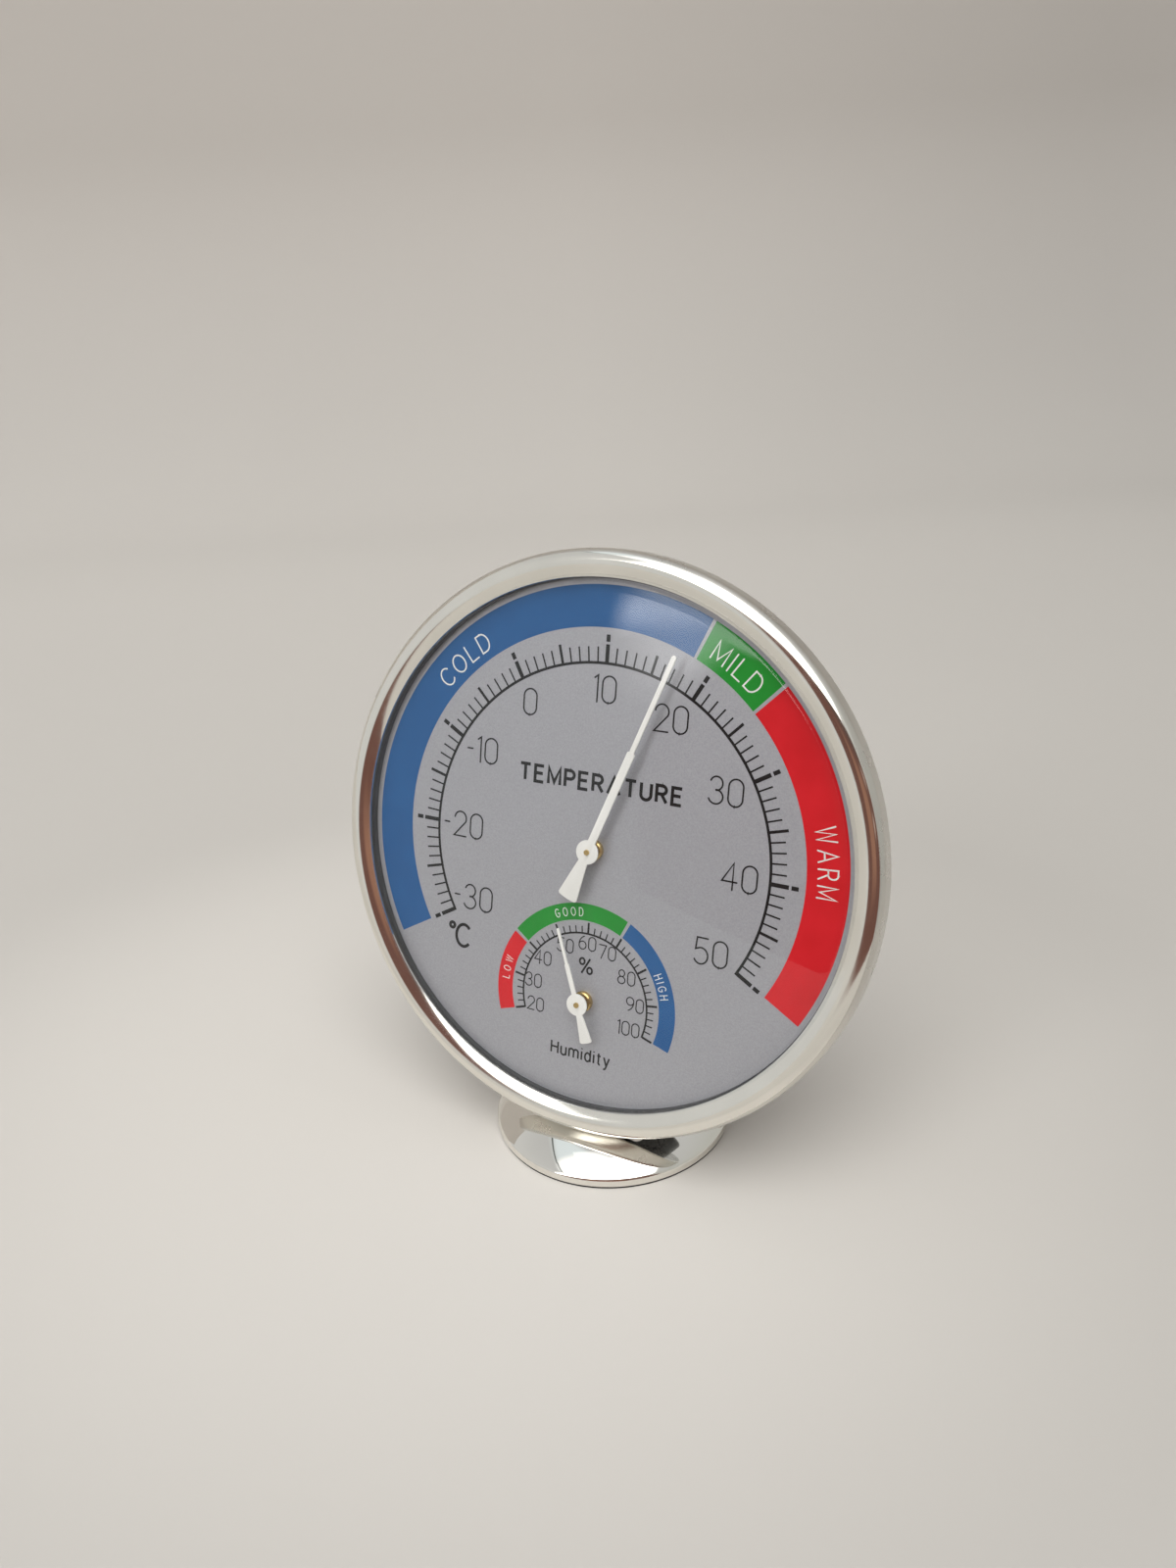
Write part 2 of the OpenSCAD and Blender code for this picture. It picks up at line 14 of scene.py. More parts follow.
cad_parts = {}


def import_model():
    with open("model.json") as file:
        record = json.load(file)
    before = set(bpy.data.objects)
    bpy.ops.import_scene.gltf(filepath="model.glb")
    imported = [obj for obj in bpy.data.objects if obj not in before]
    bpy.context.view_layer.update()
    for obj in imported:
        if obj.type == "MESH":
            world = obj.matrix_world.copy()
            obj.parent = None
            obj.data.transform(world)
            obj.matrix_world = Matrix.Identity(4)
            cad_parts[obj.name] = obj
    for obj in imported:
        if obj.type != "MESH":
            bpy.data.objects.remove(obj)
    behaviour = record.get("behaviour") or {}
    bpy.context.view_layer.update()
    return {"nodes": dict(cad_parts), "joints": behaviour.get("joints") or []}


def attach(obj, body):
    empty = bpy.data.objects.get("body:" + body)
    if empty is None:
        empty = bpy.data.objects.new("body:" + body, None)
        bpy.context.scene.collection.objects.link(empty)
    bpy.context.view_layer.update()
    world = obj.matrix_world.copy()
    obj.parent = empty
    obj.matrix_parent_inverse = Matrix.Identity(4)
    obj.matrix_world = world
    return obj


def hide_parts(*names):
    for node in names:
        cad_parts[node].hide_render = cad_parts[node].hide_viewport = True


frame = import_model()
nodes = frame["nodes"]

MM = 0.001
joints = {joint["name"]: joint for joint in frame["joints"]}
LEAN = math.radians(15)
DIAL_AT = Vector(joints["thermo_pointer_turn"]["pos_m"])
SMALL_DROP = 34.7
SCALE_UNIT = 45.8
HEAD = Matrix.Translation(DIAL_AT) @ Matrix.Rotation(math.pi / 2 - LEAN, 4, "X")
WORLD = Matrix.Identity(4)

# Ring, lens and stand, in millimetres, as in the CAD source
BEZEL_R = 64.5
WINDOW_R = 58.5
ROLL_R = 62.1
CROWN_Z = 3.5
INNER_ROLL = 7.0
LIP_Z = 2.2
SKIRT_R = 62.5
SKIRT_BACK = -2.7
POCKET_R = 59.6
POCKET_Z = -0.6
LENS_R = 59.4
LENS_LOW = 1.3
LENS_TOP = 6.6
LENS_INSIDE_TOP = 5.4
LENS_INSIDE_R = 56.9
LENS_RISE = 2.4
DOME_R = 58.1
BASE_R = 27.9
RIM_Z = 2.2
DOME_H = 6.2
SEAT_Z = 6.2
NECK_MID_Z = -7.6
THERMO_ANGLE = 21.0
HYGRO_ANGLE = -19.98


# Materials

def principled(name, color, rough, metal=0.0, **sockets):
    mat = bpy.data.materials.new(name)
    mat.use_nodes = True
    tree = mat.node_tree
    shader = tree.nodes["Principled BSDF"]
    shader.inputs["Base Color"].default_value = (*color, 1)
    shader.inputs["Roughness"].default_value = rough
    shader.inputs["Metallic"].default_value = metal
    for key, value in sockets.items():
        shader.inputs[key.replace("_", " ")].default_value = value
    return mat, tree, shader


def link(tree, a, out, b, into):
    tree.links.new(a.outputs[out], b.inputs[into])


def noise(tree, scale, detail=3.0):
    coords = tree.nodes.new("ShaderNodeTexCoord")
    tex = tree.nodes.new("ShaderNodeTexNoise")
    tex.inputs["Scale"].default_value = scale
    tex.inputs["Detail"].default_value = detail
    link(tree, coords, "Object", tex, "Vector")
    return tex


def ramp(tree, source, out, low, high, start=0.0, stop=1.0, smooth=False):
    """Goes from low to high while the source goes from start to stop."""
    node = tree.nodes.new("ShaderNodeMapRange")
    node.inputs["From Min"].default_value = start
    node.inputs["From Max"].default_value = stop
    node.inputs["To Min"].default_value = low
    node.inputs["To Max"].default_value = high
    if smooth:
        node.interpolation_type = "SMOOTHSTEP"
    link(tree, source, out, node, "Value")
    return node.outputs["Result"]


def times(tree, one, two):
    node = tree.nodes.new("ShaderNodeMath")
    node.operation = "MULTIPLY"
    tree.links.new(one, node.inputs[0])
    tree.links.new(two, node.inputs[1])
    return node.outputs["Value"]


# The noise's own values lie mostly between these two
NOISE_LOW = 0.3
NOISE_HIGH = 0.7


def vary_rough(tree, shader, scale, low, high):
    tex = noise(tree, scale, 4.0)
    rough = ramp(tree, tex, "Fac", low, high, NOISE_LOW, NOISE_HIGH)
    tree.links.new(rough, shader.inputs["Roughness"])


def bump(tree, shader, scale, strength, depth_mm):
    tex = noise(tree, scale, 2.0)
    node = tree.nodes.new("ShaderNodeBump")
    node.inputs["Strength"].default_value = strength
    node.inputs["Distance"].default_value = depth_mm * MM
    link(tree, tex, "Fac", node, "Height")
    link(tree, node, "Normal", shader, "Normal")


def tint(tree, shader, scale, dark, light, detail=3.0):
    tex = noise(tree, scale, detail)
    mix = tree.nodes.new("ShaderNodeMix")
    mix.data_type = "RGBA"
    mix.inputs["A"].default_value = (*dark, 1)
    mix.inputs["B"].default_value = (*light, 1)
    tree.links.new(ramp(tree, tex, "Fac", 0, 1, NOISE_LOW, NOISE_HIGH), mix.inputs["Factor"])
    link(tree, mix, "Result", shader, "Base Color")


def metal(name, dark, light, rough_low, rough_high, grain, depth, size=60.0):
    mat, tree, shader = principled(name, light, rough_low, 1.0)
    tint(tree, shader, size, dark, light)
    vary_rough(tree, shader, size * 2, rough_low, rough_high)
    bump(tree, shader, grain, 0.3, depth)
    return mat


def coating(name, dark, light, rough_low, rough_high, grain=1500.0, depth=0.004, **more):
    mat, tree, shader = principled(name, light, rough_low, 0.0, **more)
    tint(tree, shader, 120.0, dark, light)
    vary_rough(tree, shader, 200.0, rough_low, rough_high)
    bump(tree, shader, grain, 0.35, depth)
    return mat


def inner_lens_material():
    mat = bpy.data.materials.new("clear_lens_inner_mat")
    mat.use_nodes = True
    tree = mat.node_tree
    tree.nodes.clear()
    out = tree.nodes.new("ShaderNodeOutputMaterial")
    clear = tree.nodes.new("ShaderNodeBsdfTransparent")
    clear.inputs["Color"].default_value = (0.97, 0.975, 0.975, 1)
    link(tree, clear, "BSDF", out, "Surface")
    return mat


# Share of the light that glass sends back when it is seen head on
GLASS_HEAD_ON = 0.04


def lens_material():
    mat = bpy.data.materials.new("clear_lens_mat")
    mat.use_nodes = True
    tree = mat.node_tree
    tree.nodes.clear()
    out = tree.nodes.new("ShaderNodeOutputMaterial")
    mix = tree.nodes.new("ShaderNodeMixShader")
    clear = tree.nodes.new("ShaderNodeBsdfTransparent")
    gloss = tree.nodes.new("ShaderNodeBsdfGlossy")
    facing = tree.nodes.new("ShaderNodeLayerWeight")
    steep = tree.nodes.new("ShaderNodeMath")
    share = tree.nodes.new("ShaderNodeMath")
    clear.inputs["Color"].default_value = (0.985, 0.99, 0.99, 1)
    gloss.inputs["Color"].default_value = (1, 1, 1, 1)
    gloss.inputs["Roughness"].default_value = 0.015
    steep.operation = "POWER"
    steep.inputs[1].default_value = 5.0
    share.operation = "MULTIPLY_ADD"
    share.inputs[1].default_value = 1 - GLASS_HEAD_ON
    share.inputs[2].default_value = GLASS_HEAD_ON
    link(tree, facing, "Facing", steep, 0)
    link(tree, steep, "Value", share, 0)
    link(tree, share, "Value", mix, "Fac")
    link(tree, clear, "BSDF", mix, 1)
    link(tree, gloss, "BSDF", mix, 2)
    link(tree, mix, "Shader", out, "Surface")
    return mat


def dial_material():
    mat, tree, shader = principled("satin_dial_mat", (0.38, 0.38, 0.41), 0.42, 0.35)
    tint(tree, shader, 2600.0, (0.355, 0.355, 0.385), (0.405, 0.405, 0.435), 1.0)
    vary_rough(tree, shader, 900.0, 0.38, 0.5)
    bump(tree, shader, 3200.0, 0.3, 0.003)
    return mat


CHROME = metal(
    "mirror_chrome_mat", (0.82, 0.80, 0.75), (0.89, 0.87, 0.82), 0.015, 0.05, 300.0, 0.0004, 40.0)
SATIN = metal(
    "soft_chrome_mat", (0.84, 0.82, 0.76), (0.90, 0.88, 0.82), 0.07, 0.11, 1200.0, 0.0006, 80.0)
RING_SIDE = metal(
    "brushed_side_mat", (0.66, 0.64, 0.60), (0.74, 0.72, 0.67), 0.26, 0.34, 1400.0, 0.001)
BRUSHED = metal(
    "brushed_neck_mat", (0.56, 0.55, 0.53), (0.66, 0.65, 0.62), 0.32, 0.42, 1400.0, 0.002)
STEEL = metal("zinc_steel_mat", (0.42, 0.42, 0.43), (0.6, 0.6, 0.61), 0.22, 0.36, 1500.0, 0.004)
BRASS = metal(
    "turned_brass_mat", (0.52, 0.36, 0.13), (0.78, 0.58, 0.26), 0.16, 0.3, 1800.0, 0.003)
BIMETAL = metal("bimetal_mat", (0.34, 0.24, 0.16), (0.58, 0.48, 0.38), 0.2, 0.34, 1500.0, 0.003)
BACK_METAL = metal(
    "back_metal_mat", (0.42, 0.42, 0.41), (0.55, 0.55, 0.54), 0.2, 0.32, 1300.0, 0.004)
BLACK = coating(
    "black_plastic_mat", (0.008, 0.008, 0.009), (0.016, 0.016, 0.017), 0.42, 0.55, 1200.0, 0.01)
GREY = coating(
    "grey_plastic_mat", (0.036, 0.038, 0.042), (0.048, 0.050, 0.055), 0.45, 0.6, 1200.0, 0.01)
CASE = coating(
    "case_plastic_mat", (0.010, 0.010, 0.011), (0.018, 0.018, 0.019), 0.2, 0.32, 1100.0, 0.008)
RUBBER = coating(
    "foot_rubber_mat", (0.012, 0.012, 0.012), (0.022, 0.022, 0.021), 0.7, 0.85, 900.0, 0.02)
MATT = {"Specular_IOR_Level": 0.15}
INK = coating("black_ink_mat", (0.008, 0.008, 0.009), (0.013, 0.013, 0.014), 0.45, 0.55, **MATT)
WHITE_INK = coating("white_ink_mat", (0.70, 0.72, 0.70), (0.76, 0.77, 0.74), 0.45, 0.55, **MATT)
BLUE_INK = coating(
    "blue_ink_mat", (0.014, 0.090, 0.255), (0.018, 0.104, 0.285), 0.42, 0.52, **MATT)
GREEN_INK = coating(
    "green_ink_mat", (0.008, 0.230, 0.022), (0.014, 0.265, 0.030), 0.42, 0.52, **MATT)
RED_INK = coating("red_ink_mat", (0.56, 0.008, 0.014), (0.64, 0.012, 0.020), 0.42, 0.52, **MATT)
POINTER = coating("white_paint_mat", (0.77, 0.76, 0.73), (0.83, 0.82, 0.79), 0.35, 0.48, **MATT)
DIAL = dial_material()
LENS = lens_material()
LENS_INNER = inner_lens_material()


# Mesh helpers

def add_mesh(name, verts, faces, mat, matrix=WORLD, sharp=35.0):
    mesh = bpy.data.meshes.new(name)
    mesh.from_pydata([Vector(v) * MM for v in verts], [], faces)
    bm = bmesh.new()
    bm.from_mesh(mesh)
    bmesh.ops.recalc_face_normals(bm, faces=bm.faces)
    bm.to_mesh(mesh)
    bm.free()
    mesh.validate()
    mesh.shade_smooth()
    mesh.set_sharp_from_angle(angle=math.radians(sharp))
    mesh.materials.append(mat)
    obj = bpy.data.objects.new(name, mesh)
    bpy.context.scene.collection.objects.link(obj)
    obj.matrix_world = matrix
    return obj


def second_material(obj, mat, chosen):
    """Gives the chosen faces a material of their own."""
    obj.data.materials.append(mat)
    for polygon in obj.data.polygons:
        if chosen(polygon):
            polygon.material_index = 1


def arc(cx, cy, rx, ry, start, stop, step=6.0):
    """Points of an elliptical arc, angles in degrees, from start to stop."""
    count = max(2, math.ceil(abs(stop - start) / step))
    out = []
    for i in range(count + 1):
        a = math.radians(start + (stop - start) * i / count)
        out.append((cx + rx * math.cos(a), cy + ry * math.sin(a)))
    return out


def lathe(name, profile, mat, matrix=WORLD, segments=256, sharp=35.0):
    """A closed section of (radius, height) points turned about z."""
    verts, faces, rings = [], [], []
    for r, z in profile:
        if r < 1e-6:
            rings.append([len(verts)] * segments)
            verts.append((0, 0, z))
        else:
            rings.append(list(range(len(verts), len(verts) + segments)))
            for i in range(segments):
                a = 2 * math.pi * i / segments
                verts.append((r * math.cos(a), r * math.sin(a), z))
    for k in range(len(rings)):
        one, two = rings[k], rings[(k + 1) % len(rings)]
        for i in range(segments):
            j = (i + 1) % segments
            loop = []
            for v in (one[i], one[j], two[j], two[i]):
                if v not in loop:
                    loop.append(v)
            if len(loop) > 2:
                faces.append(loop)
    return add_mesh(name, verts, faces, mat, matrix, sharp)


class Print:
    """Gathers flat printed shapes, each a thin closed slab, into one mesh."""

    def __init__(self, name, mat, low, high):
        self.name, self.mat, self.low, self.high = name, mat, low, high
        self.verts, self.faces = [], []

    def strip(self, left, right, closed=False):
        """A slab between two equally long rows of points."""
        n = len(left)
        first = len(self.verts)
        for row, z in ((left, self.high), (right, self.high), (left, self.low), (right, self.low)):
            self.verts += [(x, y, z) for x, y in row]
        lt, rt, lb, rb = (first + n * k for k in range(4))
        for i in range(n if closed else n - 1):
            j = (i + 1) % n
            self.faces += [
                (lt + i, lt + j, rt + j, rt + i),
                (lb + i, rb + i, rb + j, lb + j),
                (lt + i, lb + i, lb + j, lt + j),
                (rt + i, rt + j, rb + j, rb + i),
            ]
        if not closed:
            for i in (0, n - 1):
                self.faces.append((lt + i, rt + i, rb + i, lb + i))

    def stroke(self, points, width, closed=False, round_ends=True):
        """A pen stroke of one width along points."""
        pts = [Vector(p) for p in points]
        if closed and (pts[0] - pts[-1]).length < 1e-6:
            pts.pop()
        half = width / 2
        count = len(pts)
        left, right = [], []
        for i, p in enumerate(pts):
            before = pts[i - 1] if (i or closed) else None
            after = pts[(i + 1) % count] if (i < count - 1 or closed) else None
            a = (p - before).normalized() if before is not None else (after - p).normalized()
            b = (after - p).normalized() if after is not None else a
            tangent = a + b
            tangent = tangent.normalized() if tangent.length > 1e-4 else a
            side = Vector((-tangent.y, tangent.x))
            reach = half / max(0.45, side.dot(Vector((-a.y, a.x))))
            left.append(p + side * reach)
            right.append(p - side * reach)
        if round_ends and not closed:
            for end, near in ((0, 1), (count - 1, count - 2)):
                out = (pts[end] - pts[near]).normalized()
                side = Vector((-out.y, out.x))
                rows = []
                for k in (1, 2, 3):
                    a = math.radians(90 * k / 3.3)
                    base = pts[end] + out * half * math.sin(a)
                    reach = side * half * math.cos(a)
                    rows.append((base + reach, base - reach))
                if end == 0:
                    for l_point, r_point in rows:
                        left.insert(0, r_point)
                        right.insert(0, l_point)
                else:
                    for l_point, r_point in rows:
                        left.append(l_point)
                        right.append(r_point)
        self.strip([tuple(p) for p in left], [tuple(p) for p in right], closed)

    def ring_part(self, cx, cy, inner, outer, start, stop, step=1.0):
        """A band of a ring, angles in degrees clockwise from the top."""
        count = max(2, math.ceil(abs(stop - start) / step))
        rows = ([], [])
        for i in range(count + 1):
            a = math.radians(start + (stop - start) * i / count)
            for row, r in zip(rows, (inner, outer)):
                row.append((cx + r * math.sin(a), cy + r * math.cos(a)))
        self.strip(rows[1], rows[0])

    def tick(self, cx, cy, inner, outer, angle, width):
        a = math.radians(angle)
        out = Vector((math.sin(a), math.cos(a)))
        side = Vector((out.y, -out.x)) * width / 2
        centre = Vector((cx, cy))
        rows = []
        for s in (-1, 1):
            rows.append([tuple(centre + out * r + side * s) for r in (inner, outer)])
        self.strip(*rows)

    def word(self, text, cx, cy, height, width, stretch, gap, turn=0.0, round_ends=True):
        """A straight word centred on (cx, cy), turned clockwise by turn degrees."""
        advance = []
        x = 0.0
        for ch in text:
            advance.append(x)
            x += GLYPHS[ch][0] * stretch + gap
        total = x - gap
        c, s = math.cos(math.radians(turn)), math.sin(math.radians(turn))
        for ch, at in zip(text, advance):
            for line in GLYPHS[ch][1]:
                pts = []
                for px, py in line:
                    u = (at + px * stretch - total / 2) * height
                    v = (py - 0.5) * height
                    pts.append((cx + u * c + v * s, cy - u * s + v * c))
                looped = (Vector(line[0]) - Vector(line[-1])).length < 1e-6
                self.stroke(pts, width, looped, round_ends)

    def arc_word(self, text, cx, cy, radius, height, width, centre, spread, stretch=1.0):
        """A word bent round (cx, cy): letters stand on the circle, tops outward."""
        widths = [GLYPHS[ch][0] * stretch * height for ch in text]
        room = math.radians(spread) * radius
        gap = (room - sum(widths)) / max(1, len(text) - 1)
        at = -room / 2
        for ch, w in zip(text, widths):
            turn = centre + math.degrees((at + w / 2) / radius)
            a = math.radians(turn)
            mid = radius + height / 2
            at_x, at_y = cx + mid * math.sin(a), cy + mid * math.cos(a)
            self.word(ch, at_x, at_y, height, width, stretch, 0, turn)
            at += w + gap

    def make(self):
        obj = add_mesh(self.name, self.verts, self.faces, self.mat, HEAD, 30.0)
        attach(obj, "head")
        return obj


def ellipse(cx, cy, rx, ry):
    points = arc(cx, cy, rx, ry, 90, -270, 10)
    points[-1] = points[0]
    return points


def tall_zero(w, h, corner):
    """A closed oblong with four round corners."""
    points = []
    right, top = w - corner, h - corner
    for cx, cy, start in ((right, top, 90), (right, corner, 0), (corner, corner, -90), (corner, top, -180)):
        points += arc(cx, cy, corner, corner, start, start - 90, 10)
    points[-1] = points[0]
    return points


# Letter shapes of one unit's height: width, and the pen strokes
GLYPHS = {
    "0": (0.56, [tall_zero(0.56, 1.0, 0.28)]),
    "1": (0.14, [[(0.0, 0.9), (0.14, 1.0), (0.14, 0.0)]]),
    "2": (0.56, [arc(0.28, 0.72, 0.27, 0.28, 172, -28) + [(0.0, 0.0), (0.56, 0.0)]]),
    "3": (0.54, [arc(0.26, 0.75, 0.24, 0.25, 160, -90), arc(0.26, 0.26, 0.28, 0.26, 90, -160)]),
    "4": (0.58, [[(0.42, 0.0), (0.42, 1.0), (0.0, 0.3), (0.58, 0.3)]]),
    "5": (0.54, [
        [(0.5, 1.0), (0.08, 1.0), (0.04, 0.55)] + arc(0.26, 0.31, 0.28, 0.31, 118, -150)]),
    "6": (0.56, [ellipse(0.28, 0.29, 0.28, 0.29), arc(0.62, 0.34, 0.62, 0.68, 176, 112)]),
    "7": (0.54, [[(0.0, 1.0), (0.54, 1.0), (0.17, 0.0)]]),
    "8": (0.56, [ellipse(0.28, 0.76, 0.22, 0.24), ellipse(0.28, 0.26, 0.28, 0.26)]),
    "9": (0.56, [ellipse(0.28, 0.71, 0.28, 0.29), arc(-0.06, 0.66, 0.62, 0.68, -4, -68)]),
    "-": (0.26, [[(0.0, 0.5), (0.22, 0.5)]]),
    "%": (0.95, [ellipse(0.2, 0.76, 0.17, 0.2), ellipse(0.75, 0.24, 0.17, 0.2), [(0.74, 1.0), (0.2, 0.0)]]),
    "*": (0.3, [ellipse(0.12, 0.88, 0.12, 0.12)]),
    "A": (0.74, [[(0.0, 0.0), (0.37, 1.0), (0.74, 0.0)], [(0.13, 0.33), (0.61, 0.33)]]),
    "C": (0.7, [arc(0.38, 0.5, 0.38, 0.5, 42, 318)]),
    "D": (0.66, [
        [(0.0, 0.0), (0.0, 1.0), (0.28, 1.0)] + arc(0.28, 0.5, 0.38, 0.5, 90, -90) + [(0.0, 0.0)]]),
    "E": (0.56, [[(0.56, 1.0), (0.0, 1.0), (0.0, 0.0), (0.56, 0.0)], [(0.0, 0.53), (0.5, 0.53)]]),
    "G": (0.74, [arc(0.38, 0.5, 0.38, 0.5, 45, 325) + [(0.72, 0.46), (0.42, 0.46)]]),
    "H": (0.62, [[(0.0, 0.0), (0.0, 1.0)], [(0.62, 0.0), (0.62, 1.0)], [(0.0, 0.53), (0.62, 0.53)]]),
    "I": (0.04, [[(0.02, 0.0), (0.02, 1.0)]]),
    "L": (0.5, [[(0.0, 1.0), (0.0, 0.0), (0.5, 0.0)]]),
    "M": (0.76, [[(0.0, 0.0), (0.0, 1.0), (0.38, 0.12), (0.76, 1.0), (0.76, 0.0)]]),
    "O": (0.78, [ellipse(0.39, 0.5, 0.39, 0.5)]),
    "P": (0.58, [
        [(0.0, 0.0), (0.0, 1.0), (0.32, 1.0)] + arc(0.32, 0.74, 0.26, 0.26, 90, -90) + [(0.0, 0.48)]]),
    "R": (0.62, [
        [(0.0, 0.0), (0.0, 1.0), (0.32, 1.0)] + arc(0.32, 0.75, 0.26, 0.25, 90, -90) + [(0.0, 0.5)],
        [(0.3, 0.5), (0.62, 0.0)]]),
    "T": (0.66, [[(0.0, 1.0), (0.66, 1.0)], [(0.33, 1.0), (0.33, 0.0)]]),
    "U": (0.62, [[(0.0, 1.0)] + arc(0.31, 0.31, 0.31, 0.31, 180, 360) + [(0.62, 1.0)]]),
    "W": (0.96, [[(0.0, 1.0), (0.24, 0.0), (0.48, 1.0), (0.72, 0.0), (0.96, 1.0)]]),
    "d": (0.48, [ellipse(0.24, 0.36, 0.24, 0.36), [(0.48, 0.0), (0.48, 1.0)]]),
    "i": (0.04, [[(0.02, 0.0), (0.02, 0.72)], [(0.02, 0.92), (0.02, 1.0)]]),
    "m": (0.84, [
        [(0.0, 0.0), (0.0, 0.72)],
        arc(0.21, 0.5, 0.21, 0.22, 180, 0) + [(0.42, 0.0)],
        arc(0.63, 0.5, 0.21, 0.22, 180, 0) + [(0.84, 0.0)]]),
    "t": (0.3, [
        [(0.12, 0.94), (0.12, 0.14)] + arc(0.26, 0.14, 0.14, 0.14, 180, 280),
        [(0.0, 0.72), (0.3, 0.72)]]),
    "u": (0.46, [
        [(0.0, 0.72)] + arc(0.23, 0.24, 0.23, 0.24, 180, 360) + [(0.46, 0.24)],
        [(0.46, 0.0), (0.46, 0.72)]]),
    "y": (0.48, [
        [(0.0, 0.72), (0.25, 0.02)],
        [(0.48, 0.72), (0.2, -0.16), (0.12, -0.27), (0.0, -0.28)]]),
}


# Camera, at the photograph's place, set from the dial's own frame

CAMERA_AT = (123.080, 67.882, 241.086)
CAMERA_RIGHT = (0.878764, 0.066170, -0.472648)
CAMERA_UP = (-0.149184, 0.978800, -0.140338)
CAMERA_BACK = (0.453341, 0.193835, 0.870006)
bpy.context.scene.view_settings.view_transform = "Standard"
camera_data = bpy.data.cameras.new("camera")
camera_data.lens = 29.475
camera_data.sensor_width = 36.0
camera = bpy.data.objects.new("camera", camera_data)
bpy.context.scene.collection.objects.link(camera)
camera_frame = Matrix((CAMERA_RIGHT, CAMERA_UP, CAMERA_BACK)).transposed().to_4x4()
camera_frame.translation = Vector(CAMERA_AT) * MM
camera.matrix_world = HEAD @ camera_frame
camera_data.clip_start = 0.01
camera_data.clip_end = 50.0
bpy.context.scene.camera = camera


# Floor that sweeps up behind the object, square to the camera's heading

PAPER = (0.60, 0.575, 0.54)
# Centre and size of the painted pool of light on the paper
LIGHT_POOL_AT = (-0.041, 0.0, 0)
LIGHT_POOL_SIZE = (0.17, 0.15, 1)
SWEEP_TURN = math.radians(29.84)
TABLE_TURN = math.radians(58.8)
TABLE_END = 0.275


def paper():
    """Pale paper with painted light: a painted pool of light round the object, painted shade towards the
    bend and towards one side, and lighter again up the wall.
    """
    mat, tree, shader = principled("paper_mat", (0.6, 0.58, 0.55), 0.85)
    tex = noise(tree, 3.0)
    coords = tree.nodes.new("ShaderNodeTexCoord")
    place = tree.nodes.new("ShaderNodeMapping")
    place.vector_type = "TEXTURE"
    place.inputs["Location"].default_value = LIGHT_POOL_AT
    place.inputs["Rotation"].default_value = (0, 0, SWEEP_TURN)
    place.inputs["Scale"].default_value = LIGHT_POOL_SIZE
    link(tree, coords, "Object", place, "Vector")
    split = tree.nodes.new("ShaderNodeSeparateXYZ")
    link(tree, place, "Vector", split, "Vector")
    flat = tree.nodes.new("ShaderNodeCombineXYZ")
    link(tree, split, "X", flat, "X")
    link(tree, split, "Y", flat, "Y")
    square = tree.nodes.new("ShaderNodeVectorMath")
    square.operation = "DOT_PRODUCT"
    link(tree, flat, "Vector", square, 0)
    link(tree, flat, "Vector", square, 1)
    level = ramp(tree, tex, "Fac", 0.98, 1.02)
    # Painted light on top of the slight random tone: a painted pool of light round the object, painted
    # shade towards the bend and towards one side, lighter up the wall
    for part in (
        ramp(tree, square, "Value", 1.0, 0.81, 0.0, 1.3, smooth=True),
        ramp(tree, split, "Y", 1.0, 0.85, 3.0, 5.8, smooth=True),
        ramp(tree, split, "Z", 1.0, 1.26, 0.03, 0.30, smooth=True),
        ramp(tree, split, "X", 1.0, 0.82, 0.3, 2.8),
    ):
        level = times(tree, level, part)
    shade = tree.nodes.new("ShaderNodeVectorMath")
    shade.operation = "SCALE"
    shade.inputs[0].default_value = PAPER
    tree.links.new(level, shade.inputs["Scale"])
    link(tree, shade, "Vector", shader, "Base Color")
    bump(tree, shader, 700.0, 0.2, 0.02)
    end_of_table(tree, coords, shader)
    return mat


def end_of_table(tree, coords, shader):
    """Past a line, reflections see the world and not more paper."""
    across = tree.nodes.new("ShaderNodeVectorMath")
    across.operation = "DOT_PRODUCT"
    across.inputs[1].default_value = (math.sin(TABLE_TURN), -math.cos(TABLE_TURN), 0)
    link(tree, coords, "Object", across, 0)
    past = tree.nodes.new("ShaderNodeMath")
    past.operation = "GREATER_THAN"
    past.inputs[1].default_value = TABLE_END
    link(tree, across, "Value", past, 0)
    path = tree.nodes.new("ShaderNodeLightPath")
    hidden = times(tree, past.outputs["Value"], path.outputs["Is Glossy Ray"])
    gone = tree.nodes.new("ShaderNodeBsdfTransparent")
    mix = tree.nodes.new("ShaderNodeMixShader")
    tree.links.new(hidden, mix.inputs["Fac"])
    link(tree, shader, "BSDF", mix, 1)
    link(tree, gone, "BSDF", mix, 2)
    link(tree, mix, "Shader", tree.nodes["Material Output"], "Surface")


def sweep():
    reach, front, flat, curve, rise = 2600.0, 700.0, 620.0, 260.0, 1300.0
    row = [(-reach, 0.0), (-front, 0.0), (0.0, 0.0), (flat, 0.0)]
    row += [(flat + curve * math.sin(a), curve - curve * math.cos(a))
            for a in (math.radians(5 * i) for i in range(1, 19))]
    row.append((flat + curve, rise))
    verts, faces = [], []
    c, s = math.cos(SWEEP_TURN), math.sin(SWEEP_TURN)
    for y, z in row:
        for x in (-reach, reach):
            verts.append((x * c - y * s, x * s + y * c, z))
    for i in range(len(row) - 1):
        faces.append((2 * i, 2 * i + 1, 2 * i + 3, 2 * i + 2))
    obj = add_mesh("paper_sweep", verts, faces, paper())


sweep()


# World: pale, with a bright panel high in front and a brown area under it

def sky_point(azimuth, elevation):
    """Direction from degrees to the right of the dial's front and above the horizon."""
    a, e = math.radians(azimuth), math.radians(elevation)
    return Vector((math.sin(a) * math.cos(e), -math.cos(a) * math.cos(e), math.sin(e)))


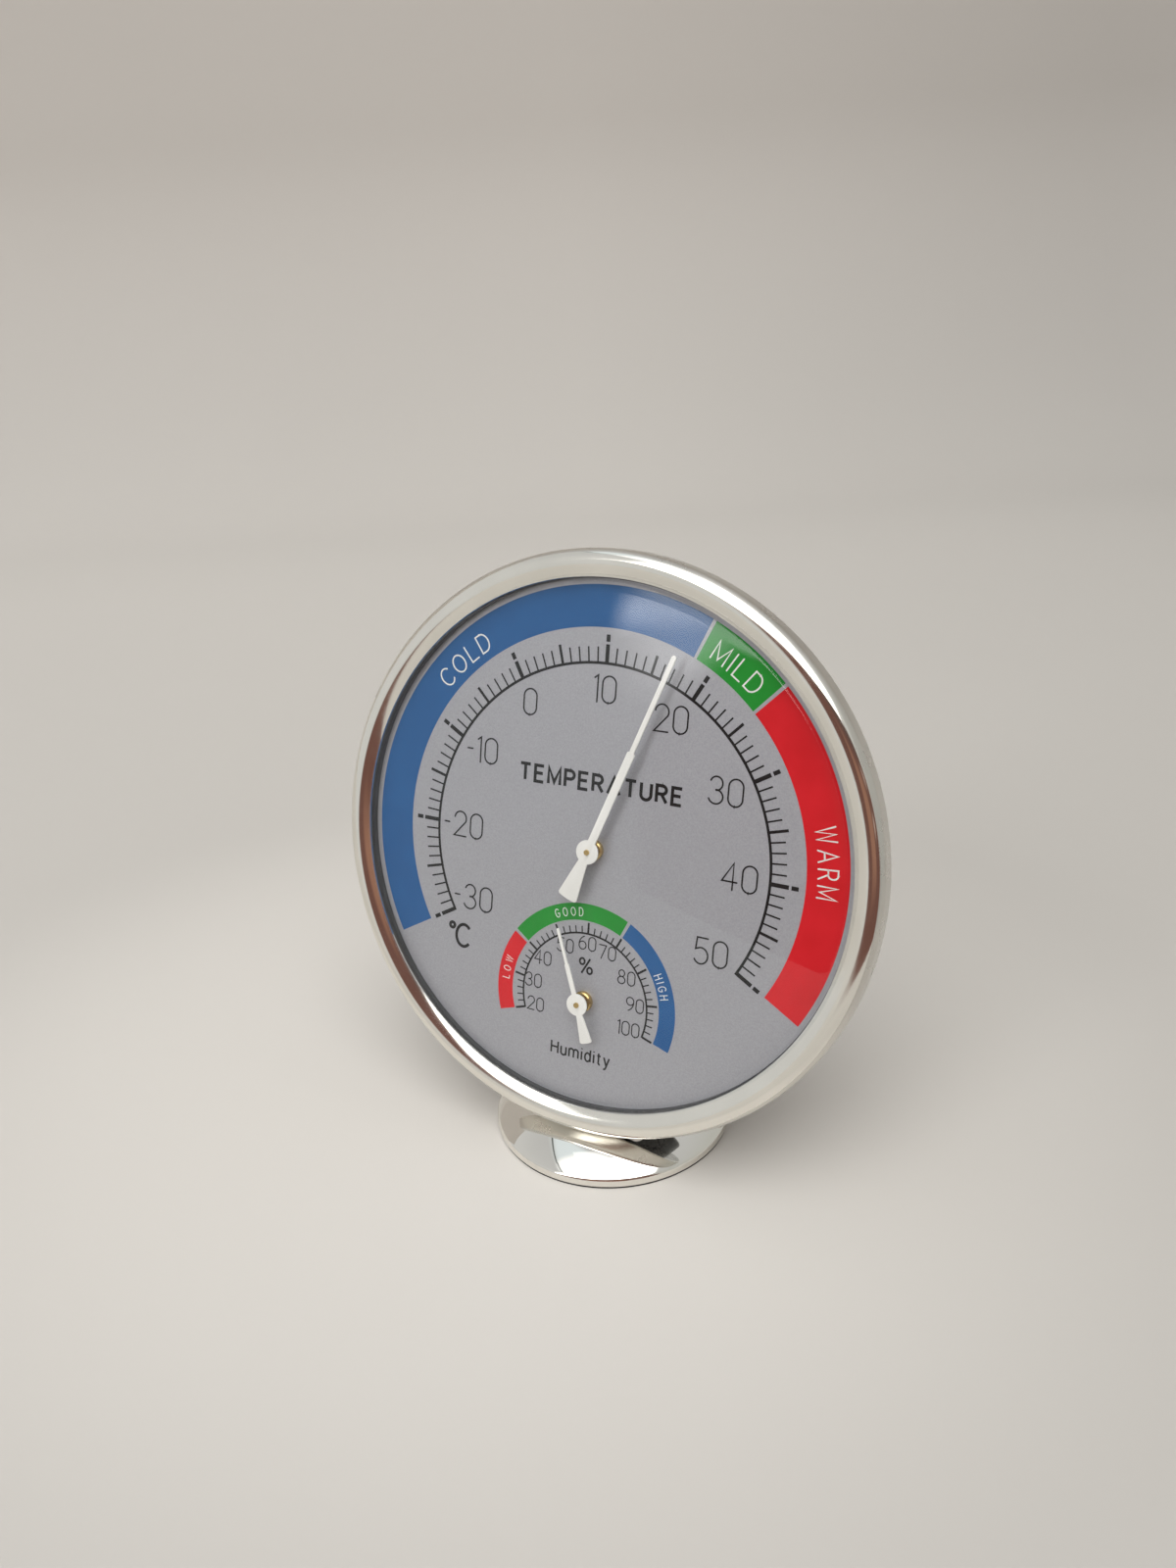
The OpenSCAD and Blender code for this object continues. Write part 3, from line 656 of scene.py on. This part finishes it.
def patch(tree, direction, corners, soft):
    """Mask of a convex patch of sky, its corners given clockwise as seen from inside."""
    points = [sky_point(*corner) for corner in corners]
    width = math.sin(math.radians(soft))
    mask = None
    for one, two in zip(points, points[1:] + points[:1]):
        side = two.cross(one).normalized()
        dot = tree.nodes.new("ShaderNodeVectorMath")
        dot.operation = "DOT_PRODUCT"
        dot.inputs[1].default_value = side
        tree.links.new(direction, dot.inputs[0])
        edge = ramp(tree, dot, "Value", 0.0, 1.0, -width, width, smooth=True)
        mask = edge if mask is None else times(tree, mask, edge)
    return mask


def blend(tree, mask, under, over):
    """Mixes two colours, each a tuple or a socket, by a mask."""
    mix = tree.nodes.new("ShaderNodeMix")
    mix.data_type = "RGBA"
    tree.links.new(mask, mix.inputs["Factor"])
    for key, value in (("A", under), ("B", over)):
        if isinstance(value, tuple):
            mix.inputs[key].default_value = (*value, 1)
        else:
            tree.links.new(value, mix.inputs[key])
    return mix.outputs["Result"]


ROOM_LEFT = (0.64, 0.64, 0.63)
ROOM_RIGHT = (0.50, 0.50, 0.47)
ROOM_TOP = (0.55, 0.55, 0.55)
SHOWN = (0.50, 0.485, 0.455)

# Each patch: its colour, the softness of its edge in degrees, and its corners as azimuth and
# elevation. First the pale and bright panels, then two thin dark bars, a narrow bright strip
# and the brown area with its darker and lighter parts
PATCHES = [
    ((0.80, 0.87, 0.90), 3.0, [(-106, 55), (-100, 68), (-76, 77), (-50, 55)]),
    ((1.3, 1.32, 1.32), 3.0, [(-20, 41), (-45, 52), (-54, 57), (-76, 76), (-60, 84), (0, 84), (0, 41)]),
    ((3.8, 3.8, 3.75), 3.0, [(-25, 13), (-29, 45), (-30, 80), (85, 80), (85, 62), (60, 42), (0, 13)]),
    ((0.12, 0.13, 0.12), 0.3, [(-106, 54.7), (-106, 55.6), (-48, 54.6), (-48, 53.7)]),
    ((0.12, 0.13, 0.12), 0.3, [(-49.5, 54.6), (-49, 55.3), (-26, 45.0), (-26.5, 44.3)]),
    ((7.0, 7.0, 7.0), 1.2, [(-27, 16.5), (-27, 19), (-19, 21.5), (-19, 18.5)]),
    ((0.16, 0.078, 0.062), 1.5,
     [(-18, -25), (-23, 4), (-22, 12), (-8, 27), (10, 35), (40, 39), (54, 35), (62, 20), (66, 5),
      (64, -34)]),
    ((0.11, 0.070, 0.060), 3.0, [(-6, 26), (10, 34), (40, 38), (52, 34), (56, 26)]),
    ((0.31, 0.160, 0.110), 5.0, [(-4, 2), (4, 20), (34, 20), (34, 2)]),
    ((0.45, 0.33, 0.28), 2.0, [(40, 11), (40, 15), (52, 15), (52, 11)]),
    ((0.45, 0.33, 0.28), 2.0, [(38, 22), (38, 25), (52, 25), (52, 22)]),
]


def world():
    w = bpy.data.worlds.new("studio")
    bpy.context.scene.world = w
    w.use_nodes = True
    tree = w.node_tree
    back = tree.nodes["Background"]
    coords = tree.nodes.new("ShaderNodeTexCoord")
    direction = coords.outputs["Generated"]
    split = tree.nodes.new("ShaderNodeSeparateXYZ")
    tree.links.new(direction, split.inputs["Vector"])
    right = ramp(tree, split, "X", 0, 1, -0.5, 0.6)
    up = ramp(tree, split, "Z", 0, 1, 0.55, 0.9)
    color = blend(tree, right, ROOM_LEFT, ROOM_RIGHT)
    color = blend(tree, up, color, ROOM_TOP)
    for shade, soft, corners in PATCHES:
        color = blend(tree, patch(tree, direction, corners, soft), color, shade)
    path = tree.nodes.new("ShaderNodeLightPath")
    shown = blend(tree, path.outputs["Is Camera Ray"], color, SHOWN)
    tree.links.new(shown, back.inputs["Color"])
    back.inputs["Strength"].default_value = 1.0


world()


def lamp(name, at, aim, width, height, watts, color):
    data = bpy.data.lights.new(name, "AREA")
    data.shape = "RECTANGLE"
    data.size, data.size_y = width, height
    data.energy = watts
    data.color = color
    obj = bpy.data.objects.new(name, data)
    bpy.context.scene.collection.objects.link(obj)
    obj.location = at
    obj.rotation_mode = "QUATERNION"
    obj.rotation_quaternion = (Vector(aim) - Vector(at)).to_track_quat("-Z", "Y")


TARGET = (0, 0, 0.06)
lamp("overhead_lamp", (0.15, -0.25, 1.2), TARGET, 1.0, 0.8, 0.6, (1.0, 0.99, 0.97))


# Ring

OUTER_ROLL = BEZEL_R - ROLL_R
BACK_ROUND = 0.6
SLOPE_END = 90 + math.degrees(math.asin((ROLL_R - WINDOW_R - 0.1) / INNER_ROLL))
bezel_row = [(WINDOW_R, LIP_Z)]
bezel_row += arc(ROLL_R, CROWN_Z - INNER_ROLL, INNER_ROLL, INNER_ROLL, SLOPE_END, 90, 1.5)
bezel_row += arc(ROLL_R, CROWN_Z - OUTER_ROLL, OUTER_ROLL, OUTER_ROLL, 88, 0, 3)
bezel_row += arc(BEZEL_R - BACK_ROUND, SKIRT_BACK + BACK_ROUND, BACK_ROUND, BACK_ROUND, 0, -90, 15)
bezel_row += [(SKIRT_R, SKIRT_BACK), (SKIRT_R, POCKET_Z), (POCKET_R, POCKET_Z), (POCKET_R, LIP_Z)]
bezel = lathe("bezel_ring", bezel_row, SATIN, HEAD, 360, 38)
SIDE_FROM = ROLL_R + 1.5
second_material(bezel, RING_SIDE, lambda face: face.center.xy.length > SIDE_FROM * MM)
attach(bezel, "head")
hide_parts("bezel")


# Lens

CURVE_R = (DOME_R**2 + LENS_RISE**2) / (2 * LENS_RISE)


def dome_row(edge_r, top, wall_low, count=36):
    """Dome from the middle to its rounded shoulder, then down its wall."""
    row = []
    last = edge_r - 0.35
    for i in range(count + 1):
        r = last * i / count
        row.append((r, top - CURVE_R + math.sqrt(CURVE_R**2 - r**2)))
    z = row[-1][1]
    row += [(edge_r - 0.16, z - 0.06), (edge_r - 0.04, z - 0.18), (edge_r + 0.01, z - 0.36)]
    row.append(wall_low)
    return row


lens_row = dome_row(57.78, LENS_TOP, (DOME_R, LIP_Z))
lens_row += [(LENS_R, LIP_Z), (LENS_R, LENS_LOW), (LENS_INSIDE_R, LENS_LOW)]
lens_row += dome_row(56.4, LENS_INSIDE_TOP, (LENS_INSIDE_R, 1.9))[-2::-1]
lens = lathe("lens_cover", lens_row, LENS, HEAD, 256, 30)
second_material(lens, LENS_INNER, lambda face: face.normal.z < 0.2)
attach(lens, "head")
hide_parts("lens")


# Printed dial

U = SCALE_UNIT
INK_LOW = 0.005
INK_HIGH = 0.03
TOP_INK = 0.05


def printed(name, mat, low=INK_LOW, high=INK_HIGH):
    return Print(name, mat, low, high)


for name, mat, start, stop in (
    ("cold_zone", BLUE_INK, -120, 24.2),
    ("mild_zone", GREEN_INK, 25, 44.2),
    ("warm_zone", RED_INK, 45, 120),
):
    part = printed(name, mat)
    part.ring_part(0, 0, 1.05 * U, 1.245 * U, start, stop)
    part.make()

ticks = printed("temperature_scale", INK)
ticks.ring_part(0, 0, 0.879 * U, 0.892 * U, -120.6, 120.6)
for value in range(-30, 51):
    angle = (value - 10) * 3
    if value % 10 == 0:
        ticks.tick(0, 0, 0.891 * U, 0.973 * U, angle, 0.9)
        ticks.tick(0, 0, 0.985 * U, 1.018 * U, angle, 0.9)
    elif value % 5 == 0:
        ticks.tick(0, 0, 0.891 * U, 0.98 * U, angle, 0.62)
    else:
        ticks.tick(0, 0, 0.891 * U, 0.96 * U, angle, 0.36)
ticks.make()

numbers = printed("temperature_numbers", INK)
for text, x, y in (
    ("-30", -0.66, -0.365), ("-20", -0.74, 0.0), ("-10", -0.65, 0.39), ("0", -0.395, 0.66),
    ("10", 0.0, 0.765), ("20", 0.345, 0.67), ("30", 0.64, 0.38), ("40", 0.74, 0.0),
    ("50", 0.635, -0.375),
):
    numbers.word(text, x * U, y * U, 0.125 * U, 0.36, 1.0, 0.2)
numbers.make()

small = printed("humidity_scale", INK)
SY = -SMALL_DROP
small.ring_part(0, SY, 0.335 * U, 0.344 * U, -108.6, 108.6)
for value in range(20, 101, 2):
    angle = (value - 60) * 2.7
    if value % 10 == 0:
        small.tick(0, SY, 0.343 * U, 0.395 * U, angle, 0.48)
    else:
        small.tick(0, SY, 0.343 * U, 0.375 * U, angle, 0.28)
small.make()

for name, mat, start, stop in (
    ("low_zone", RED_INK, -108, -56),
    ("good_zone", GREEN_INK, -54, 25),
    ("high_zone", BLUE_INK, 27, 108),
):
    part = printed(name, mat)
    part.ring_part(0, SY, 0.403 * U, 0.487 * U, start, stop)
    part.make()

numbers = printed("humidity_numbers", INK)
for text, x, y in (
    ("20", -0.265, -0.835), ("30", -0.285, -0.715), ("40", -0.24, -0.59), ("50", -0.12, -0.5),
    ("60", 0.0, -0.465), ("70", 0.11, -0.49), ("80", 0.22, -0.59), ("90", 0.275, -0.715),
    ("100", 0.25, -0.84),
):
    numbers.word(text, x * U, y * U, 0.068 * U, 0.25, 1.0, 0.2)
numbers.make()

titles = printed("dial_words", INK)
titles.word("TEMPERATURE", 0.0, 0.32 * U, 0.078 * U, 0.72, 1.06, 0.36, 0, False)
titles.word("Humidity", 0.0, -1.03 * U, 0.06 * U, 0.42, 1.0, 0.3, 0, False)
titles.word("*C", -0.73 * U, -0.575 * U, 0.115 * U, 0.72, 1.0, 0.05, 0, False)
titles.word("%", 0.0, -0.58 * U, 0.078 * U, 0.46, 1.0, 0.2, 0, False)
titles.make()

zone_words = printed("zone_words", WHITE_INK, INK_HIGH - 0.01, TOP_INK)
zone_words.arc_word("COLD", 0, 0, 1.092 * U, 0.088 * U, 0.34, -43.5, 17)
zone_words.arc_word("MILD", 0, 0, 1.092 * U, 0.09 * U, 0.34, 34.5, 13.5)
zone_words.arc_word("WARM", 0, 0, 1.102 * U, 0.09 * U, 0.34, 83, 16, 0.78)
zone_words.arc_word("LOW", 0, SY, 0.425 * U, 0.038 * U, 0.18, -80, 15, 0.75)
zone_words.arc_word("GOOD", 0, SY, 0.424 * U, 0.04 * U, 0.18, -14.5, 20, 0.75)
zone_words.arc_word("HIGH", 0, SY, 0.417 * U, 0.04 * U, 0.18, 68, 16, 0.8)
zone_words.make()


# Pointers

def pointer_outline(tip_l, shoulder_l, tail_l, hub_r, blade_w, tip_w, tail_w):
    b, t = blade_w / 2, tip_w / 2
    chamfer = blade_w / 4
    right = arc(0, tip_l - t, t, t, 90, 0, 15)
    right += [(t, shoulder_l), (b - chamfer, shoulder_l - 0.05), (b, shoulder_l - chamfer)]
    start = math.degrees(math.acos(b / hub_r))
    x0, dx, dy = blade_w / 2.4, tail_w / 2 * 1.05 - blade_w / 2.4, -tail_l * 1.05

    def meet(radius):
        low, high = 0.0, 1.0
        for _ in range(40):
            mid = (low + high) / 2
            if math.hypot(x0 + dx * mid, dy * mid) < radius:
                low = mid
            else:
                high = mid
        return (x0 + dx * low, dy * low)

    near, far = meet(hub_r), meet(tail_l)
    stop = math.degrees(math.atan2(near[1], near[0]))
    right += arc(0, 0, hub_r, hub_r, start, stop, 8)
    end = math.degrees(math.atan2(far[1], far[0]))
    turn = math.degrees(0.35 / tail_l)
    right.append((near[0] + (far[0] - near[0]) * 0.96, near[1] + (far[1] - near[1]) * 0.96))
    right += arc(0, 0, tail_l, tail_l, end - turn, -90, 4)
    left = [(-x, y) for x, y in reversed(right[:-1])]
    return right + left[:-1]


def pointer(name, node, body, cy, angle, *shape):
    """A thin sheet with softened edges, hub at (0, cy), turned clockwise."""
    outline = pointer_outline(*shape)
    low, high, soft = 3.0, 3.3, 0.06
    a = math.radians(-angle)
    mesh = bmesh.new()
    face = mesh.faces.new([mesh.verts.new((x, y, low)) for x, y in outline])
    made = bmesh.ops.extrude_face_region(mesh, geom=[face])
    for v in made["geom"]:
        if isinstance(v, bmesh.types.BMVert):
            v.co.z = high
    edges = [e for e in mesh.edges if all(v.co.z > low + 0.1 for v in e.verts)]
    bmesh.ops.bevel(mesh, geom=edges, offset=soft, segments=2, affect="EDGES", profile=0.6)
    place = Matrix.Translation((0, cy, 0)) @ Matrix.Rotation(a, 4, "Z")
    bmesh.ops.transform(mesh, matrix=place, verts=mesh.verts)
    mesh.verts.index_update()
    verts = [tuple(v.co) for v in mesh.verts]
    faces = [tuple(v.index for v in f.verts) for f in mesh.faces]
    mesh.free()
    obj = add_mesh(name, verts, faces, POINTER, HEAD, 40.0)
    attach(obj, body)
    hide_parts(node)
    return obj


# Length to the tip, the shoulder and the tail, hub radius, widths of blade, tip and tail
THERMO_SHAPE = (47.2, 24.8, 11.9, 2.65, 1.85, 1.1, 4.9)
HYGRO_SHAPE = (17.5, 9.5, 8.8, 2.5, 1.1, 0.7, 3.0)
pointer("thermo_hand", "thermo_pointer", "thermo_movement", 0.0, THERMO_ANGLE, *THERMO_SHAPE)
pointer("hygro_hand", "hygro_pointer", "hygro_movement", SY, HYGRO_ANGLE, *HYGRO_SHAPE)


# Base

def dome_z(r):
    return RIM_Z + DOME_H * max(0.0, 1 - (r / BASE_R) ** 3.5) ** 0.91


DOME_END = BASE_R - 0.38
EDGE_ROUND = 1.2
EDGE_DROP = 0.878
FOOT_ROUND = 0.6
base_row = []
for i in range(61):
    r = DOME_END * math.sin(math.radians(90 * i / 60))
    base_row.append((r, dome_z(r)))
base_row += arc(BASE_R - EDGE_ROUND, base_row[-1][1] - EDGE_DROP, EDGE_ROUND, EDGE_ROUND, 45, 0, 9)
base_row += arc(BASE_R - FOOT_ROUND, 0.9, FOOT_ROUND, FOOT_ROUND, 0, -90, 15)
base_row += [(25.9, 0.3), (25.9, 1.6), (23.6, 1.6), (23.6, 2.6), (20.0, 4.4), (0.0, 4.4)]
base = lathe("domed_base", base_row, CHROME, WORLD, 256, 40)
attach(base, "stand")
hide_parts("stand_base")


# Neck and its tongue

def rounded_bar(width, depth, corner):
    row = []
    in_x, in_y = width / 2 - corner, depth / 2 - corner
    for cx, cy, start in ((1, 1, 0), (-1, 1, 90), (-1, -1, 180), (1, -1, 270)):
        row += arc(cx * in_x, cy * in_y, corner, corner, start, start + 90, 9)
    return row


def neck():
    """Sections up the bar: width, depth, corner and height, then cut level with the base."""
    rings = [
        (30.0, 8.4, 2.0, -72.0), (30.0, 8.4, 2.0, -57.7), (29.8, 8.2, 1.9, -57.42),
        (29.4, 7.8, 1.7, -57.3), (20.0, 5.6, 1.0, -57.3), (20.0, 5.6, 1.0, -45.7),
        (19.4, 5.0, 0.8, -45.1),
    ]
    verts, faces = [], []
    count = len(rounded_bar(*rings[0][:3]))
    for width, depth, corner, y in rings:
        verts += [(x, y, NECK_MID_Z + z) for x, z in rounded_bar(width, depth, corner)]
    for k in range(len(rings) - 1):
        for i in range(count):
            j = (i + 1) % count
            faces.append((k * count + i, k * count + j, (k + 1) * count + j, (k + 1) * count + i))
    faces.append(tuple(range(count)))
    faces.append(tuple(range(len(verts) - count, len(verts))))
    obj = add_mesh("neck_bar", verts, faces, BRUSHED, HEAD, 40.0)
    bm = bmesh.new()
    bm.from_mesh(obj.data)
    bm.transform(HEAD)
    cut = bmesh.ops.bisect_plane(
        bm, geom=bm.verts[:] + bm.edges[:] + bm.faces[:], dist=1e-7,
        plane_co=(0, 0, SEAT_Z * MM), plane_no=(0, 0, 1), clear_inner=True)
    bmesh.ops.holes_fill(bm, edges=[e for e in cut["geom_cut"] if isinstance(e, bmesh.types.BMEdge)])
    bmesh.ops.recalc_face_normals(bm, faces=bm.faces)
    bm.to_mesh(obj.data)
    bm.free()
    obj.matrix_world = WORLD
    obj.data.set_sharp_from_angle(angle=math.radians(40))
    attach(obj, "stand")
    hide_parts("stand_neck")


neck()


# CAD nodes that keep their own shape

MOVEMENT_PARTS = ("bracket", "bush", "nut", "coil_post", "arbor", "collet")
for mat, names in (
    (STEEL, ("base_weight", "neck_screws", "case_screws")),
    (BLACK, ("base_cover",)),
    (GREY, ("spacer_ring",)),
    (RUBBER, ("foot_pad",)),
    (CASE, ("rear_case",)),
    (BACK_METAL, ("back_ring",)),
    (DIAL, ("dial_plate",)),
    (BIMETAL, ("thermo_coil", "hygro_coil")),
    (BRASS, [name for name in nodes if name.split("_", 1)[-1] in MOVEMENT_PARTS]),
):
    for name in names:
        obj = nodes[name]
        obj.data.materials.clear()
        obj.data.materials.append(mat)
